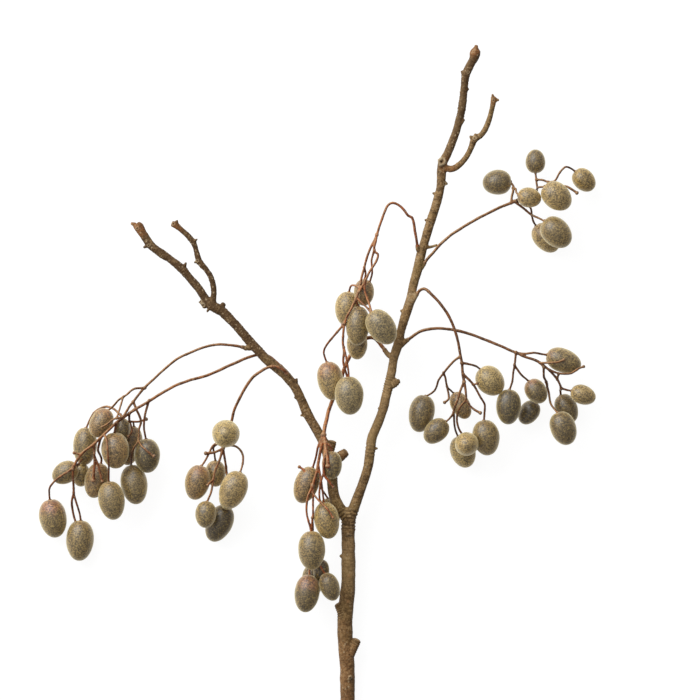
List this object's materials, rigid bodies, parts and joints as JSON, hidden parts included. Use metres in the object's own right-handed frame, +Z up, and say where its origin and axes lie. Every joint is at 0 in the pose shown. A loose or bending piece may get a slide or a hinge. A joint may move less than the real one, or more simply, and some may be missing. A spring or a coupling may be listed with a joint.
{
  "type": "fruiting branch",
  "caption": "Cut forked branch lying flat, with bare twigs and hanging sprays of thin stalks that carry downy, egg-shaped olive fruits.",
  "frame": {"origin": "middle of the branch's outline, on the surface that it lies on", "axes": "+Z up from the surface, +Y along the branch from its cut end to its tips, +X across it to the right as the picture shows it"},
  "size_m": [0.4179, 0.5221, 0.0569],
  "materials": {
    "bark": "matte, finely ringed grey-brown bark with pale pores",
    "fruit_skin": "downy, speckled olive skin with a soft satin light",
    "stalk_skin": "smooth red-brown stalk"
  },
  "bodies": {
    "root": {"branch_wood": "bark", "spray_upper_left": "fruit_skin", "spray_lower_left": "fruit_skin", "spray_left_centre": "fruit_skin", "spray_upper_centre": "fruit_skin", "spray_lower_centre": "fruit_skin", "spray_right_inner": "fruit_skin", "spray_right_outer": "fruit_skin", "spray_upper_right": "fruit_skin"}
  },
  "joints": []
}
